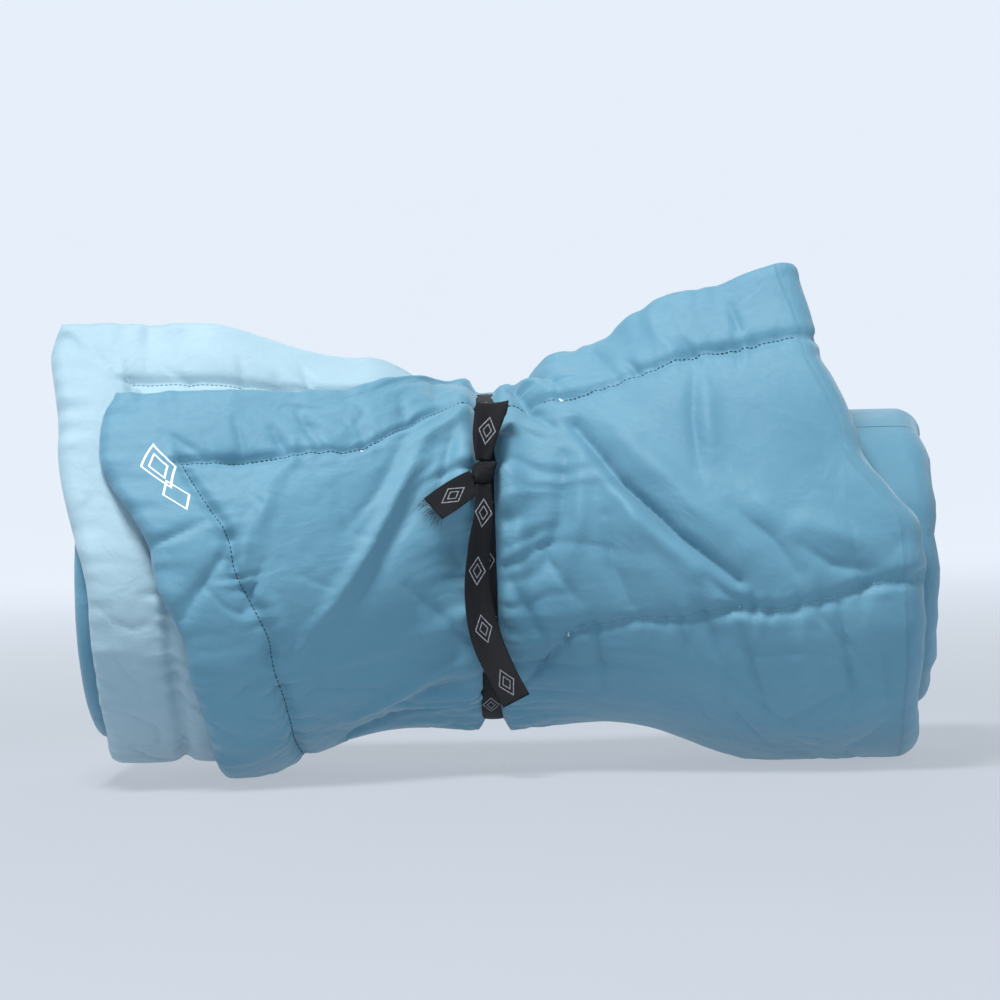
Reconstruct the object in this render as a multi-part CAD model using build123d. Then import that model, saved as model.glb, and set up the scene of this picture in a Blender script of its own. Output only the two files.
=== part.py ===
from build123d import *
import math
import os

# A padded camp blanket, folded in half lengthwise with its lining inside, rolled up and tied round
# its waist with a ribbon. Millimetres. X runs along the roll, -Y is the front, Z is up, and the
# roll rests on the plane Z = 0. An angle of turn starts at the free end on top of the roll and
# grows down the front, under the roll and up its back.

# ---- the folded and rolled blanket ----
ROLL_RADIUS = 157.0        # outside of the first turn, before the roll is squeezed
STACK = 34.0               # doubled blanket: two padded layers
PITCH = 36.0               # radius lost in one turn
# Angles of turn where the roll has a section, a little over three turns in all
STATIONS = (*range(0, 90, 10), *range(90, 351, 20), 366, 379, 390, 401, 414, 431, 453, 484, 525, *range(570, 1156, 45))
WRAP_END = 390             # the shell fabric is two nodes, which meet at this angle
SHELL_THICK = 1.2
LINING_THICK = 1.0
LAYER_GAP = 1.2            # clearance between two materials
LINING_GAP = 1.2           # clearance between the two lining faces that lie on each other
FREE_EDGE_THIN = 0.42      # share of its thickness that the blanket keeps at its free edge
HEM_THIN = 0.5             # the same at the open side edges
HEM_WIDTH = 45.0

# ---- how the tied roll is squeezed ----
AXIS_Y = 9.7               # puts the box's middle on Y = 0
AXIS_HEIGHT = 139.4
WAIST_X = -2.0
WAIST_RISE = 20.0          # the waist is held this much higher than the two ends
WAIST_RISE_WIDTH = 155.0
LEFT_DROP = 4.4            # the open end sinks this much further, so that it rests too
PINCH_WIDTH = 118.0
DEPTH_END = 1.08           # front-to-back stretch of the round section at the ends
DEPTH_WAIST = 0.73
HEIGHT_END = 1.007
HEIGHT_WAIST = 0.907

# ---- the free end, which leaves the roll like a wing ----
WING_ANGLE = 70.0          # where the free end leaves the roll
WING_REACH = 1.02          # its length against the arc that it leaves
START_A = 27.0             # the outer layer ends this many degrees short at the open side

# Places along the roll, as (angle of turn, x) stops
OUTER_EDGE_X = ((0, -303), (40, -285), (90, -247), (130, -229), (180, -213), (250, -240), (330, -312))
INNER_EDGE_X = ((0, -337), (40, -331), (90, -309), (130, -300), (200, -302), (290, -328))
FOLD_X = ((0, 233), (30, 256), (60, 287), (90, 322), (125, 329), (175, 318), (240, 331), (300, 338))
# How far the free edge stands up, as (x, share of the wing) stops
WING_SHARE = ((-165, 0.62), (-16, 0.0), (12, 0.0), (150, 0.82), (225, 1.0))

# Where the points of a section lie across one layer, from its side edge to the fold
LEG_SHARES = (0, 0.02, 0.045, 0.075, 0.11) + tuple(0.155 + 0.045 * i for i in range(18)) + (0.96, 0.98, 1)
FOLD_STEP = 30             # degrees between the points round the fold
LEG_NOMINAL = 600.0        # only sets how the points of a section share its length

# ---- stitching ----
BORDER = 57.0              # border stitch from the edges
THREAD_WIDTH = 1.8
THREAD_THICK = 0.6
THREAD_LIFT = 1.2          # middle of the thread above the fabric
DEGREE_LENGTH = 2.6        # arc length of one degree of the outer turn

# ---- ribbon ----
RIBBON_WIDTH = 22.0
RIBBON_THICK = 0.9
BAND_GAP = 2.1             # the band clears the fabric, and the quilting that passes under it
KNOT_X = -8.0
KNOT_ANGLE = 64.0          # the knot lies on the upper front of the waist
KNOT_SIZE = (21.0, 13.0, 17.0)
FREE_GAP = 0.8             # between the knot and the root of each free end
LOOP_LENGTH = 56.0
LOOP_GAP = 5.0
LOOP_ROOT_WIDTH = 13.0
LOOP_TOP_WIDTH = 26.0
TAIL_CLEAR = 5.0           # the long end hangs this far in front of the waist
# The long end's route below the knot: x, drop and width, narrower where it is seen twisted
LONG_TAIL = ((-9, 0, 12), (-8, 22, 16), (-14, 46, 20), (-17, 76, 22), (-11, 108, 22), (0, 136, 22), (10, 156, 22))
SHORT_ROOT_X = -19.5
SHORT_LENGTH = 27.0
SHORT_WIDTHS = (13, 19, 22, 22)
FRAY_COUNT = 7
FRAY_WIDTH = 0.8


def ease(value, stops):
    """Smooth value between stops given as (place, value) pairs."""
    if value <= stops[0][0]:
        return stops[0][1]
    for (low, first), (high, last) in zip(stops, stops[1:]):
        if value <= high:
            t = (value - low) / (high - low)
            return first + (last - first) * t * t * (3 - 2 * t)
    return stops[-1][1]


def side_edge_x(turn, layer):
    return ease(turn, INNER_EDGE_X if layer else OUTER_EDGE_X)


def place(turn, x, depth, layer):
    """Point of the rolled blanket: angle of turn, x, depth into the stack, layer 0 outer or 1 inner."""
    bell = math.exp(-(((x - WAIST_X) / PINCH_WIDTH) ** 2))
    plateau = math.exp(-((abs(x - WAIST_X) / WAIST_RISE_WIDTH) ** 5))
    start = 0.0 if layer else ease(x, ((-180, START_A), (-25, 0.0)))
    angle = turn + start * max(0.0, 1 - turn / 150)
    hem = ease(x - side_edge_x(turn, layer), ((0, HEM_THIN), (HEM_WIDTH, 1.0)))
    middle = STACK * (0.75 if layer else 0.25)
    depth = middle + (depth - middle) * hem
    inner_swell, outer_swell = (ease(angle - s, ((0, FREE_EDGE_THIN), (50, 1.0))) for s in (0, start))
    outer_part = max(0.0, STACK / 2 - depth)
    radius = ROLL_RADIUS - PITCH * angle / 360 - STACK
    radius += (STACK - depth - outer_part) * inner_swell + outer_part * outer_swell
    forward = radius * math.sin(math.radians(angle))
    upward = radius * math.cos(math.radians(angle))
    if angle < WING_ANGLE:
        share = ease(x, WING_SHARE)
        leave = math.radians(WING_ANGLE)
        run = math.radians(WING_ANGLE - angle) * ROLL_RADIUS * WING_REACH
        forward += share * (radius * math.sin(leave) - run * math.cos(leave) - forward)
        upward += share * (radius * math.cos(leave) + run * math.sin(leave) - upward)
    depth_scale = DEPTH_END + (DEPTH_WAIST - DEPTH_END) * bell
    height_scale = HEIGHT_END + (HEIGHT_WAIST - HEIGHT_END) * plateau
    axis_height = AXIS_HEIGHT + WAIST_RISE * plateau - ease(x, ((-190, LEFT_DROP), (-60, 0.0)))
    return Vector(x, AXIS_Y - depth_scale * forward, axis_height + height_scale * upward)


def u_line(turn, near, far):
    """One line of a section: along the outer layer, round the fold and back along the inner layer."""
    middle = (near + far) / 2
    radius = (far - near) / 2
    centre_x = ease(turn, FOLD_X) - STACK / 2
    outer_x = side_edge_x(turn, 0)
    inner_x = side_edge_x(turn, 1)
    points = [place(turn, outer_x + (centre_x - outer_x) * share, near, 0) for share in LEG_SHARES]
    parameters = [LEG_NOMINAL * share for share in LEG_SHARES]
    for degrees in range(FOLD_STEP - 90, 90, FOLD_STEP):
        angle = math.radians(degrees)
        layer = 0 if degrees < 0 else 1
        points.append(place(turn, centre_x + radius * math.cos(angle), middle + radius * math.sin(angle), layer))
        parameters.append(LEG_NOMINAL + radius * (angle + math.pi / 2))
    points += [place(turn, inner_x + (centre_x - inner_x) * share, far, 1) for share in LEG_SHARES[::-1]]
    parameters += [2 * LEG_NOMINAL + radius * math.pi - LEG_NOMINAL * share for share in LEG_SHARES[::-1]]
    return points, parameters


def section_splines(turn, near, far, thick):
    """The two lines of a section, outer and inner, both from the outer layer to the inner layer."""
    splines = []
    for depth in (0.0, thick):
        points, parameters = u_line(turn, near + depth, far - depth)
        splines.append(Edge.make_spline(points, parameters=parameters))
    return splines


def section_wire(outer, inner):
    """Closed section: the two lines, joined across the blanket's side edges."""
    ends = [Edge.make_line(outer @ end, inner @ end) for end in (0, 1)]
    return Wire([outer, ends[1], inner, ends[0]])


def rolled_layer(near, far, thick, stations=STATIONS):
    """A folded sheet between two depths of the stack, rolled up: a closed solid."""
    sections = [section_splines(turn, near, far, thick) for turn in stations]
    faces = Shell.make_loft([section_wire(*splines) for splines in sections]).faces()
    for splines in (sections[0], sections[-1]):
        faces.append(Face.make_surface_from_curves(*splines))
    return Solid(Shell(faces))


def strip(points, normals, widths, thick):
    """A flat strip along a line: four rails, a face between each two, and two flat ends."""
    rails = [[], [], [], []]
    for i, (point, normal, width) in enumerate(zip(points, normals, widths)):
        ahead = points[min(i + 1, len(points) - 1)] - points[max(i - 1, 0)]
        across = ahead.cross(normal).normalized() * (width / 2)
        up = across.cross(ahead).normalized() * (thick / 2)
        for rail, corner in zip(rails, (across + up, up - across, across * -1 - up, across - up)):
            rail.append(point + corner)
    parameters = [0.0]
    for first, last in zip(points, points[1:]):
        parameters.append(parameters[-1] + (last - first).length)
    edges = [Edge.make_spline(rail, parameters=parameters) for rail in rails]
    faces = [Face.make_surface_from_curves(edges[i], edges[i - 1]) for i in range(4)]
    faces += [Face(Wire.make_polygon([rail[end] for rail in rails])) for end in (0, -1)]
    return Solid(Shell(faces))


def surface_normal(turn, x, layer, depth):
    along_x = place(turn, x + 1, depth, layer) - place(turn, x - 1, depth, layer)
    along_turn = place(turn + 1, x, depth, layer) - place(turn - 1, x, depth, layer)
    return along_turn.cross(along_x).normalized()


def stitch(line, layer=0, depth=0.0):
    """Thread lying on the fabric along a line of (angle of turn, x) points."""
    normals = [surface_normal(turn, x, layer, depth) for turn, x in line]
    points = [place(turn, x, depth, layer) + normal * THREAD_LIFT for (turn, x), normal in zip(line, normals)]
    return strip(points, normals, [THREAD_WIDTH] * len(line), THREAD_THICK)


def line_between(first, last, steps):
    """Evenly spaced (angle, x) points between two of them."""
    return [tuple(a + (b - a) * i / steps for a, b in zip(first, last)) for i in range(steps + 1)]


# ---- the blanket's own pieces ----
def outer_shell():
    """The shell fabric's outermost wrap, flat where it rests on the ground."""
    rolled = rolled_layer(0, STACK, SHELL_THICK, [turn for turn in STATIONS if turn <= WRAP_END])
    below_floor = Pos(0, 0, -25) * Box(900, 600, 50)
    return rolled - below_floor


def inner_shell():
    """The rest of the same fabric, rolled up inside. It meets the outer wrap edge to edge."""
    return rolled_layer(0, STACK, SHELL_THICK, [turn for turn in STATIONS if turn >= WRAP_END])


def insulation():
    near = SHELL_THICK + LAYER_GAP
    lining_depth = STACK / 2 - LINING_GAP / 2 - LINING_THICK
    thick = lining_depth - LAYER_GAP - near
    return rolled_layer(near, STACK - near, thick)


def lining():
    near = STACK / 2 - LINING_GAP / 2 - LINING_THICK
    return rolled_layer(near, STACK - near, LINING_THICK)


BORDER_TURN = BORDER / DEGREE_LENGTH
# The free edge's border stitch on the outer layer, as (x, angle of turn) stops
FREE_STITCH = ((-210, 28), (-142, 29), (-80, 33), (60, 34), (118, 28), (162, 24), (240, 23))
STITCH_CORNER = FREE_STITCH[0][1]


def free_edge_stitch():
    """Border stitch of the outer layer, parallel to the free edge, from the side border to the fold."""
    left = side_edge_x(STITCH_CORNER, 0) + BORDER
    right = ease(BORDER_TURN, FOLD_X) - 14
    places = [left + (right - left) * i / 22 for i in range(23)]
    return stitch([(ease(x, FREE_STITCH), x) for x in places])


def side_edge_stitch():
    """Border stitch of the outer layer, parallel to its open side edge."""
    turns = [STITCH_CORNER + 12 * i for i in range(13)]
    return stitch([(turn, side_edge_x(turn, 0) + BORDER) for turn in turns])


def lining_stitch():
    """Border stitch on the lining side of the inner layer, seen behind the outer layer."""
    left = side_edge_x(BORDER_TURN, 1) + BORDER
    depth = STACK / 2 + LINING_GAP / 2
    return stitch(line_between((BORDER_TURN - 3, left), (BORDER_TURN - 3, -185), 8), 1, depth)


def quilt_stitch():
    """Quilting line that crosses the front of the right half and dives under the waist."""
    stops = ((-150, 168), (-60, 156), (8, 138), (64, 113), (114, 108), (176, 99), (300, 90))
    places = [-140 + 450 * i / 20 for i in range(21)]
    return stitch([(ease(x, stops), x) for x in places])


# ---- ribbon ----
def waist_point(turn, lift, x=WAIST_X):
    """Point on the waist at an angle of turn, lifted off the fabric."""
    normal = surface_normal(max(turn, 2), x, 1, 0.0)
    return place(turn, x, 0.0, 1) + Vector(0, normal.Y, normal.Z).normalized() * lift


def band_line(lift):
    """Closed line round the waist. It bridges the step at the free edge."""
    turns = list(range(1, 316, 12))
    points = [waist_point(turn, lift) for turn in turns]
    first = points[0]
    last = points[-1]
    bridge = last + (first - last) * 0.5 + Vector(0, 0, 9.5)
    return Edge.make_spline([Vector(WAIST_X, p.Y, p.Z) for p in points + [bridge]], periodic=True)


def ribbon_band():
    ring = Face(Wire([band_line(BAND_GAP + RIBBON_THICK)]), [Wire([band_line(BAND_GAP)])])
    return Pos(-RIBBON_WIDTH / 2, 0, 0) * extrude(ring, RIBBON_WIDTH, dir=(1, 0, 0))


KNOT_PLACE = waist_point(KNOT_ANGLE, BAND_GAP + RIBBON_THICK + KNOT_SIZE[1] * 0.42, KNOT_X)
KNOT_OUT = surface_normal(KNOT_ANGLE, WAIST_X, 1, 0.0)
KNOT_OUT = Vector(0, KNOT_OUT.Y, KNOT_OUT.Z).normalized()
KNOT_UP = Vector(0, KNOT_OUT.Z, -KNOT_OUT.Y)


def ribbon_knot():
    """The tight overhand knot, a soft lump that sits on the band."""
    lump = scale(Sphere(0.5), by=KNOT_SIZE)
    tilt = math.degrees(math.atan2(KNOT_OUT.Z, -KNOT_OUT.Y))
    return Location(KNOT_PLACE) * Location((0, 0, 0), (-tilt, 0, 0)) * lump


def ribbon_bow_loop():
    """The folded loop that stands up from the knot and leans back on the waist."""
    root = KNOT_PLACE + KNOT_UP * (KNOT_SIZE[2] / 2 + FREE_GAP) + KNOT_OUT * 2.4
    side = [(share * LOOP_LENGTH, LOOP_GAP * (0.4 + 0.6 * share)) for share in (0.0, 0.3, 0.6, 0.92)]
    outline = [(reach, gap, KNOT_OUT) for reach, gap in side]
    outline.append((LOOP_LENGTH + LOOP_GAP / 2, 0.0, KNOT_UP))
    outline += [(reach, -gap, KNOT_OUT * -1) for reach, gap in side[::-1]]
    points = [root + KNOT_UP * reach + KNOT_OUT * (gap / 2) for reach, gap, normal in outline]
    widths = [LOOP_ROOT_WIDTH + (LOOP_TOP_WIDTH - LOOP_ROOT_WIDTH) * min(1, reach / LOOP_LENGTH)
              for reach, gap, normal in outline]
    return strip(points, [normal for reach, gap, normal in outline], widths, RIBBON_THICK)


def ribbon_long_tail():
    """The long end that hangs down the front of the waist, clear of it."""
    front = min(place(turn, 18, 0.0, 1).Y for turn in range(60, 130, 5)) - TAIL_CLEAR
    root = KNOT_PLACE - KNOT_UP * (KNOT_SIZE[2] / 2 + FREE_GAP)
    points = [Vector(x, ease(drop, ((0, root.Y), (30, front))), root.Z - drop) for x, drop, width in LONG_TAIL]
    return strip(points, [Vector(0, -1, 0)] * len(points), [width for x, drop, width in LONG_TAIL], RIBBON_THICK)


def short_tail_line():
    """Middle line of the short end, from the knot to its raw edge, with the fabric's normals."""
    places = [(KNOT_ANGLE + 1 + 11 * share, SHORT_ROOT_X - SHORT_LENGTH * share) for share in (0, 0.35, 0.7, 1)]
    normals = [surface_normal(turn, x, 1, 0.0) for turn, x in places]
    lifts = [5.0 + 0.5 * i for i in range(4)]
    return [place(turn, x, 0.0, 1) + normal * lift
            for (turn, x), normal, lift in zip(places, normals, lifts)], normals


def ribbon_short_tail():
    """The short end, which lies to the left of the knot."""
    points, normals = short_tail_line()
    return strip(points, normals, SHORT_WIDTHS, RIBBON_THICK)


def frayed_threads():
    """Loose threads at the short end's raw edge: separate thin solids."""
    points, normals = short_tail_line()
    ahead = (points[-1] - points[-2]).normalized()
    across = ahead.cross(normals[-1]).normalized()
    threads = []
    for i in range(FRAY_COUNT):
        spread = i / (FRAY_COUNT - 1) - 0.5
        start = points[-1] + ahead * 0.3 + across * (spread * (SHORT_WIDTHS[-1] - 2))
        reach = ahead * (8 + 2.5 * (i % 3)) + across * (3 * spread) - Vector(0, 0, 2.0 * (i % 2))
        bend = normals[-1] * 0.8
        threads.append(strip([start, start + reach * 0.5 + bend, start + reach], [normals[-1]] * 3,
                             [FRAY_WIDTH] * 3, FRAY_WIDTH * 0.7))
    return Compound(threads)


NODES = {
    "outer_shell": outer_shell,
    "inner_shell": inner_shell,
    "insulation": insulation,
    "lining": lining,
    "free_edge_stitching": free_edge_stitch,
    "side_edge_stitching": side_edge_stitch,
    "lining_stitching": lining_stitch,
    "quilt_stitching": quilt_stitch,
    "ribbon_band": ribbon_band,
    "ribbon_knot": ribbon_knot,
    "ribbon_bow_loop": ribbon_bow_loop,
    "ribbon_long_tail": ribbon_long_tail,
    "ribbon_short_tail": ribbon_short_tail,
    "frayed_threads": frayed_threads,
}

os.makedirs("parts", exist_ok=True)
for name, make in NODES.items():
    piece = make()
    export_step(piece, f"parts/{name}.step")
    box = piece.bounding_box()
    print(name, "valid" if piece.is_valid else "NOT VALID", "volume", round(piece.volume),
          "x", round(box.min.X, 2), round(box.max.X, 2), "y", round(box.min.Y, 2), round(box.max.Y, 2),
          "z", round(box.min.Z, 2), round(box.max.Z, 2))
print("knot", KNOT_PLACE, "out", KNOT_OUT)
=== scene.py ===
"""A padded camp blanket, folded in half, rolled up and tied round its waist with a black ribbon.

Metres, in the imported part's frame: X along the roll, -Y the front, Z up, the floor at Z = 0.
An angle of turn starts at the free end on top of the roll and grows down the front, under the
roll and up its back. Layer 0 of the folded blanket is the outer one, layer 1 the inner one.
"""
import bmesh
import bpy
import math
import numpy as np
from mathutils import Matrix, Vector


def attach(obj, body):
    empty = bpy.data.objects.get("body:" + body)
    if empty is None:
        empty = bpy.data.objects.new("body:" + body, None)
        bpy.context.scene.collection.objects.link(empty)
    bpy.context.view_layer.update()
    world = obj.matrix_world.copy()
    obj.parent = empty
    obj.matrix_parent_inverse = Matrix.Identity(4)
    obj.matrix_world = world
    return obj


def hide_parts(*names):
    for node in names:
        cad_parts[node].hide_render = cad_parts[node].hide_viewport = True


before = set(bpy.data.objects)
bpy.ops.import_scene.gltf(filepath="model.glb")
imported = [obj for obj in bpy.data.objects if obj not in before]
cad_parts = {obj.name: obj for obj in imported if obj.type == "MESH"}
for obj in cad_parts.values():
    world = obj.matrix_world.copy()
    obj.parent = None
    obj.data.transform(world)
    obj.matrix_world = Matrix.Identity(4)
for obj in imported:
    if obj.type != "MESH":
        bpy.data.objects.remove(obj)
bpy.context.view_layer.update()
MM = 0.001
RNG = np.random.default_rng(11)

# ---- the roll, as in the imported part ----
ROLL_RADIUS = 157 * MM
STACK = 34 * MM
PITCH = 36 * MM
AXIS_Y = 9.7 * MM
AXIS_HEIGHT = 139.4 * MM
WAIST_X = -2 * MM
WAIST_RISE = 20 * MM
WAIST_RISE_WIDTH = 155 * MM
PINCH_WIDTH = 118 * MM
LEFT_DROP = 4.4 * MM
DEPTH_END, DEPTH_WAIST = 1.07, 0.72
HEIGHT_END, HEIGHT_WAIST = 1.007, 0.907
FREE_EDGE_THIN = 0.42
WING_ANGLE = 70.0
WING_REACH = 1.02
START_A = 27.0
PANEL = STACK / 2          # one padded layer
BAND_DEPTH = 2.5 * MM      # the ribbon's depth below the roll's outer surface
DEGREE = 2.6 * MM          # length of one degree of the outer turn
FLOOR_GAP = 0.3 * MM
BORDER = 57 * MM           # border stitch from the edges
BORDER_TURN = BORDER / DEGREE
CLOTH_WIDTH = 1.3          # of the unfolded blanket, for the cloth coordinates
FOLD_U = 0.6               # cloth coordinate where the fold starts
STITCH_STEP, STITCH_GAP, STITCH_RADIUS = 3.4 * MM, 0.8 * MM, 0.42 * MM
BAND_X = -6 * MM           # the middle of the ribbon's band

# Where the two open side edges and the fold lie, as (angle of turn, x) stops
OUTER_EDGE_X = ((0, -0.283), (22, -0.283), (62, -0.243), (95, -0.221), (130, -0.212), (180, -0.208),
                (250, -0.24), (330, -0.304))
INNER_EDGE_X = ((0, -0.328), (40, -0.315), (90, -0.291), (130, -0.289), (200, -0.300), (270, -0.322),
                (380, -0.302))
FOLD_X = ((0, 0.228), (25, 0.240), (54, 0.264), (78, 0.300), (128, 0.303), (175, 0.310), (240, 0.327),
          (300, 0.332), (390, 0.318))
# How far the free edge stands up, as (x, share) stops
WING_SHARE = ((-0.22, 0.78), (-0.095, 0.42), (-0.016, 0.0), (0.012, 0.0), (0.055, 0.34), (0.15, 0.82),
              (0.225, 1.0))
# Quilting line across the right half, as (x, angle of turn) stops
QUILT_LINE = ((-0.15, 168), (-0.06, 156), (0.008, 138), (0.064, 113), (0.114, 108), (0.176, 99), (0.3, 90))
BACK_QUILT_TURN = 238.0    # the next quilting line, up the back of the roll
# Border stitch along the free edge, as (x, angle of turn) stops
FREE_STITCH = ((-0.21, 28), (-0.142, 29), (-0.08, 33), (0.06, 34), (0.118, 28), (0.162, 24), (0.24, 23))
STITCH_CORNER = FREE_STITCH[0][1]    # where the two border stitches meet


def ease(value, stops):
    """Smooth value between (place, value) stops, for numbers or arrays."""
    value = np.asarray(value, float)
    result = np.full(value.shape, float(stops[0][1]))
    for (low, first), (high, last) in zip(stops, stops[1:]):
        t = np.clip((value - low) / (high - low), 0, 1)
        result = result + (last - first) * t * t * (3 - 2 * t)
    return result


def bell(x):
    """1 at the tie, falling to 0 towards both ends."""
    return np.exp(-(((x - WAIST_X) / PINCH_WIDTH) ** 2))


def place(turn, x, depth, layer):
    """Points of the rolled blanket for arrays of angle of turn, x, depth into the stack and layer."""
    plateau = np.exp(-((np.abs(x - WAIST_X) / WAIST_RISE_WIDTH) ** 5))
    start = (1 - layer) * ease(x, ((-0.11, START_A), (-0.014, 0.0)))
    angle = turn + start * np.maximum(0, 1 - turn / 150)
    inner_swell = ease(angle, ((0, FREE_EDGE_THIN), (50, 1.0)))
    outer_swell = ease(angle - start, ((0, FREE_EDGE_THIN), (50, 1.0)))
    outer_part = np.maximum(0, STACK / 2 - depth)
    radius = ROLL_RADIUS - PITCH * angle / 360 - STACK
    radius = radius + (STACK - depth - outer_part) * inner_swell + outer_part * outer_swell
    forward = radius * np.sin(np.radians(angle))
    upward = radius * np.cos(np.radians(angle))
    leave = math.radians(WING_ANGLE)
    run = np.maximum(0, leave - np.radians(angle)) * ROLL_RADIUS * WING_REACH
    share = ease(x, WING_SHARE) * (angle < WING_ANGLE)
    forward = forward + share * (radius * math.sin(leave) - run * math.cos(leave) - forward)
    upward = upward + share * (radius * math.cos(leave) + run * math.sin(leave) - upward)
    depth_scale = DEPTH_END + (DEPTH_WAIST - DEPTH_END) * bell(x)
    height_scale = HEIGHT_END + (HEIGHT_WAIST - HEIGHT_END) * plateau
    axis_height = AXIS_HEIGHT + WAIST_RISE * plateau - ease(x, ((-0.19, LEFT_DROP), (-0.06, 0.0)))
    return np.stack([x, AXIS_Y - depth_scale * forward, axis_height + height_scale * upward], axis=-1)


# ---- smooth noise ----
def noise_1d(values, seed):
    """Smooth noise from -1 to 1 along a line, one bump per unit."""
    table = np.random.default_rng(seed).uniform(-1, 1, 4096)
    cell = np.floor(values).astype(int)
    t = values - cell
    t = t * t * (3 - 2 * t)
    return table[cell % 4096] * (1 - t) + table[(cell + 1) % 4096] * t


def noise_2d(u, v, seed):
    """Smooth noise from -1 to 1 over a surface, one bump per unit each way."""
    table = np.random.default_rng(seed).uniform(-1, 1, (256, 256))
    iu, iv = np.floor(u).astype(int), np.floor(v).astype(int)
    tu, tv = u - iu, v - iv
    tu, tv = tu ** 3 * (tu * (6 * tu - 15) + 10), tv ** 3 * (tv * (6 * tv - 15) + 10)
    low = table[iu % 256, iv % 256] * (1 - tu) + table[(iu + 1) % 256, iv % 256] * tu
    high = table[iu % 256, (iv + 1) % 256] * (1 - tu) + table[(iu + 1) % 256, (iv + 1) % 256] * tu
    return low * (1 - tv) + high * tv


# ---- the blanket's middle surface ----
WRAP_TURNS = np.arange(0, 386, 1.0)             # the outermost wrap, in fine rows
INNER_TURNS = np.arange(385, 1156, 7.0)         # the rest of the roll
LEG_COLUMNS = 220
FOLD_COLUMNS = 15
FOLD_START, INNER_START = LEG_COLUMNS, LEG_COLUMNS + FOLD_COLUMNS


def leg_shares(count):
    """Shares across one layer, closer together at the side edge."""
    even = np.linspace(0, 1, count)
    return even - 0.03 * np.sin(2 * np.pi * even)


def middle_surface(turns):
    """Points through the middle of the padding (layer 0, the fold, layer 1), with turn, x, layer and side."""
    turn = turns[:, None]
    shares = leg_shares(LEG_COLUMNS)[None, :]
    centre_x = ease(turn, FOLD_X) - PANEL
    corner = 9 * MM * np.exp(-((turn * DEGREE / (16 * MM)) ** 2))
    blocks = []
    for layer, edge in ((0, OUTER_EDGE_X), (1, INNER_EDGE_X)):
        edge_x = ease(turn, edge) + corner
        x = edge_x + (centre_x - edge_x) * (shares if layer == 0 else shares[:, ::-1])
        depth = np.full(x.shape, STACK * (0.25 if layer == 0 else 0.75))
        blocks.append((x, depth, np.full(x.shape, layer), x - edge_x))
    angle = np.radians(np.linspace(-90, 90, FOLD_COLUMNS + 2)[1:-1])[None, :]
    x = centre_x + PANEL / 2 * np.cos(angle)
    depth = np.broadcast_to(STACK / 2 + PANEL / 2 * np.sin(angle), x.shape)
    blocks.insert(1, (x, depth, np.broadcast_to((angle >= 0).astype(int), x.shape), np.full(x.shape, 1.0)))
    x, depth, layer, side = (np.concatenate(parts, axis=1) for parts in zip(*blocks))
    turn = np.broadcast_to(turn, x.shape)
    return place(turn, x, depth, layer), turn, x, layer, side


def grid_normals(points):
    """Outward normals of a grid."""
    along_turn = np.gradient(points, axis=0)
    across = np.gradient(points, axis=1)
    normal = np.cross(along_turn, across)
    return normal / np.linalg.norm(normal, axis=-1, keepdims=True)


# ---- how the padding swells, is stitched down and wrinkles ----
def groove(distance, width):
    """1 on a line, falling to 0 away from it."""
    return np.exp(-((distance / width) ** 2))


def free_stitch(x, layer):
    """Angle of the border stitch along the free edge."""
    return np.where(layer == 0, ease(x, FREE_STITCH), BORDER_TURN)


def stitch_distance(turn, x, layer, side):
    """Distance to the nearest stitch line, and the length along it."""
    line = free_stitch(x, layer)
    free = np.where(side > BORDER - 2 * MM, np.abs(turn - line) * DEGREE, 1.0)
    border = np.where(turn > line - 1, np.abs(side - BORDER), 1.0)
    quilt = np.abs(turn - ease(x, QUILT_LINE)) * DEGREE * 0.93
    quilt = np.where(x > -0.12, quilt, 1.0)
    quilt = np.minimum(quilt, np.abs(turn - BACK_QUILT_TURN) * DEGREE * 0.93)
    quilt = np.where((layer == 0) & (side > BORDER), quilt, 1.0)
    nearest = np.minimum(np.minimum(free, border), quilt)
    along = np.where(nearest == border, turn * DEGREE, x)
    return nearest, along


def padding(turn, x, layer, side):
    """Half thickness of the padded layer."""
    edge = np.minimum(side, turn * DEGREE)
    rounding = np.sqrt(np.clip(1 - (1 - np.clip(edge / (11 * MM), 0, 1)) ** 2, 0, 1))
    near, along = stitch_distance(turn, x, layer, side)
    depth = 0.62 + 0.2 * noise_1d(along / (23 * MM) + 70 * layer, 17)
    stitched = np.maximum(1 - depth * groove(near, 4.5 * MM) - 0.2 * groove(near, 17 * MM), 0.14)
    squeezed = (1 - 0.3 * bell(x)) * (1 - 0.4 * under_band(x))
    return PANEL / 2 * rounding * stitched * squeezed


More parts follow.
